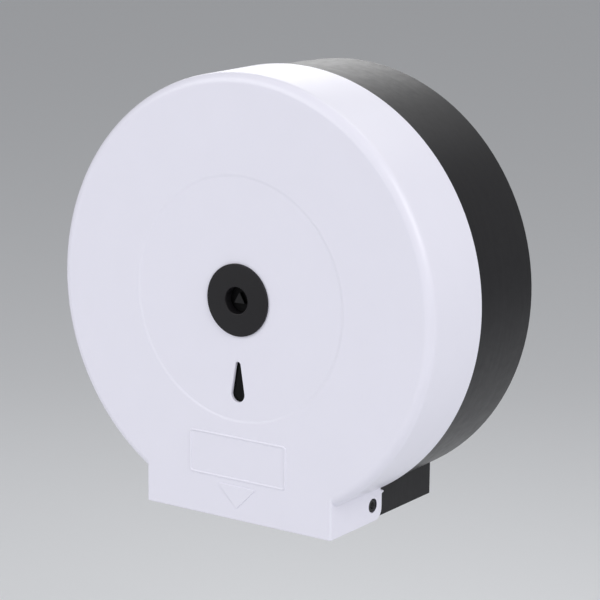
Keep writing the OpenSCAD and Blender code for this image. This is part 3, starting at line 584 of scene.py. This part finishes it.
# The roughness noise of the white stays above 0.274: below that, the denoiser paints dark specks
white_abs = finish("white_abs", (0.782, 0.772, 0.864), rough=0.31, grain=900,
                   grain_height=0.00001, patchy=0.006, specular=0.45)
front_cover = piece("front_cover_shell", cover_patches, white_abs, "cover", "front_cover")

# ---- Level window ----
# The smoked acrylic pane behind the slot in the cover, through which the roll's level is read. It
# lies on the cover's inner face under the four stakes, and looks nearly black from outside.

smoked = finish("smoked_acrylic", (0.0012, 0.0012, 0.0013), rough=0.08, grain=500,
                grain_height=0.000002, patchy=0.02, edge=0.0002, specular=0.12)
dress(smoked, "level_window")

# ---- Lock bezel ----
# The charcoal ABS disc round the key hole, a little domed and rounded at its edge, on a neck that
# goes through the cover and carries a thread for the ring nut.

BEZEL_R, BEZEL_EDGE, BEZEL_TOP, BEZEL_ROUND = 22.1, 119.0, 119.7, 0.45
KEY_HOLE_R, KEY_HOLE_LIP, CORE_SEAT, CORE_BORE_R = 8.2, 0.5, 111.5, 6.08
NECK_R, NECK_BACK, THREAD_PITCH, THREAD_DEEP = 11.9, 108.02, 1.5, 0.45
BEZEL_STEPS, DOME_POINTS = 180, 25

dome_r = (BEZEL_R ** 2 - KEY_HOLE_R ** 2) / (2 * (BEZEL_TOP - BEZEL_EDGE))
dome_at = np.linspace(BEZEL_R, KEY_HOLE_R, DOME_POINTS)
dome_out = BEZEL_EDGE + np.sqrt(dome_r ** 2 - dome_at ** 2) - np.sqrt(dome_r ** 2 - BEZEL_R ** 2)
dome = np.stack([dome_at, dome_out], -1)
rounds = [0, 0.1, BEZEL_ROUND] + [0] * (DOME_POINTS - 2) + [KEY_HOLE_LIP, 0.2, 0.2, 0.3, 0]
bezel_section = soft_corners(
    [(NECK_R, PANEL_FACE), (BEZEL_R, PANEL_FACE), *dome, (KEY_HOLE_R, CORE_SEAT),
     (CORE_BORE_R, CORE_SEAT), (CORE_BORE_R, NECK_BACK), (NECK_R - THREAD_DEEP, NECK_BACK)],
    rounds, 6, closed=False)

# The neck's thread: its radius falls by the thread's depth as a triangle wave of one pitch, whose
# phase runs on by one pitch in each turn, and the wave dies out towards the panel
a = np.linspace(0, 2 * np.pi, BEZEL_STEPS, endpoint=False)[:, None]
neck_out = np.linspace(NECK_BACK, PANEL_FACE, 73)[None]
phase = ((neck_out - NECK_BACK) / THREAD_PITCH - a / (2 * np.pi)) % 1
wave = 1 - np.abs(2 * phase - 1)
fade = np.clip((PANEL_FACE - neck_out) / THREAD_PITCH, 0, 1) * np.clip(
    (neck_out - NECK_BACK) / 0.3, 0, 1)
neck_radius = NECK_R - THREAD_DEEP * (1 - wave * fade) * (neck_out < PANEL_FACE - 0.01)
neck = np.stack([neck_radius * np.sin(a), -neck_radius * np.cos(a), neck_out + 0 * a], -1)
bezel = piece("lock_bezel_disc", [
    turned(bezel_section, BEZEL_STEPS, closed=False),
    net(neck, loop_rows=True)], charcoal_abs, "cover", "lock_bezel")
dress(charcoal_abs, "ring_nut")

# ---- Lock core ----
# The black POM core that the key turns: a triangular post on a sunk head, a shank with the clip's
# groove, a tang, and the square end for the bar. Its colour is painted darker than the pins' POM,
# as painted shade of the recess round the post, and the post's tip is painted paler, as painted
# light.

CORE_HEAD_R, CORE_FACE, SHANK_R, GROOVE_DEEP, TANG_R = 8.12, 113.9, 6.0, 1.0, 3.4
WASHER_BACK, CLIP_BACK, SHANK_BACK, BAR_FRONT, BAR_BACK = 107.0, 106.1, 105.1, 100.5, 96.5
POST_SIDE, POST_H, SQUARE_SIDE = 8.0, 2.5, 3.8
POST_ROUND, SQUARE_ROUND = 0.45, 0.3

groove_r = SHANK_R - GROOVE_DEEP
core_section = soft_corners(
    [(0, CORE_FACE), (CORE_HEAD_R, CORE_FACE), (CORE_HEAD_R, CORE_SEAT), (SHANK_R, CORE_SEAT),
     (SHANK_R, WASHER_BACK), (groove_r, WASHER_BACK), (groove_r, CLIP_BACK), (SHANK_R, CLIP_BACK),
     (SHANK_R, SHANK_BACK), (TANG_R, SHANK_BACK), (TANG_R, BAR_FRONT), (0, BAR_FRONT)],
    [0, 0.35, 0.1, 0.2, 0.1, 0.15, 0.15, 0.1, 0.3, 0.3, 0.2, 0], 4, closed=False)


def key_post(grow):
    """The triangular post's outline, with its tip up and rounded edges."""
    reach = POST_SIDE / np.sqrt(3) + 2 * grow
    a = np.radians([90, 210, 330])
    return soft_corners(reach * np.stack([np.cos(a), np.sin(a)], -1), POST_ROUND + grow, 6)


def bar_square(grow):
    """The square end's outline, with rounded edges."""
    half = SQUARE_SIDE / 2 + grow
    corners = [[-half, -half], [half, -half], [half, half], [-half, half]]
    return soft_corners(corners, SQUARE_ROUND + grow, 5)


# The core's base colour, darker than the pins' black POM, is painted shade of the key hole's
# recess
core_shaded_and_lit = finish("pom_painted_shade_and_tip_light", (0.003, 0.003, 0.0034), rough=0.55, grain=1400,
                grain_height=0.00002, patchy=0.06, specular=0.1)

# Painted light on the post's tip: from a little above the head to the post's end, the colour runs
# to the paler one
WORN_FROM, PAINTED_TIP_LIGHT = 1.6, (0.018, 0.018, 0.019, 1)
tree = core_shaded_and_lit.node_tree
shader = tree.nodes["Principled BSDF"]
height = tree.nodes.new("ShaderNodeSeparateXYZ")
where = tree.nodes.new("ShaderNodeTexCoord")
tree.links.new(where.outputs["Object"], height.inputs[0])
tip_light_ramp = tree.nodes.new("ShaderNodeMapRange")
tip_light_ramp.inputs["From Min"].default_value = -(CORE_FACE + WORN_FROM) / 1000
tip_light_ramp.inputs["From Max"].default_value = -(CORE_FACE + POST_H) / 1000
tree.links.new(height.outputs["Y"], tip_light_ramp.inputs["Value"])
paler = tree.nodes.new("ShaderNodeMix")
paler.data_type = "RGBA"
plain = shader.inputs["Base Color"].links[0].from_socket
tree.links.new(tip_light_ramp.outputs["Result"], paler.inputs["Factor"])
tree.links.new(plain, paler.inputs["A"])
paler.inputs["B"].default_value = PAINTED_TIP_LIGHT
tree.links.new(paler.outputs["Result"], shader.inputs["Base Color"])

core = piece("lock_core_turned", [
    turned(core_section, 144, closed=False),
    *slab(key_post, CORE_FACE - 0.2, CORE_FACE + POST_H, 0.3),
    *slab(bar_square, BAR_BACK, BAR_FRONT + 0.2, 0.1)], core_shaded_and_lit, "lock", "lock_core")

# ---- Lock hardware ----
# The zinc washer and the spring steel clip that hold the core in the bezel's neck, and the
# stainless bar with its screw on the core's end.

spring_steel = finish("spring_steel", (0.26, 0.26, 0.28), rough=0.34, grain=900,
                      grain_height=0.00001, patchy=0.08, edge=0.0001, metallic=1)
dress(spring_steel, "lock_clip")
dress(stainless, "lock_bar")
dress(zinc, "lock_washer", "bar_screw")
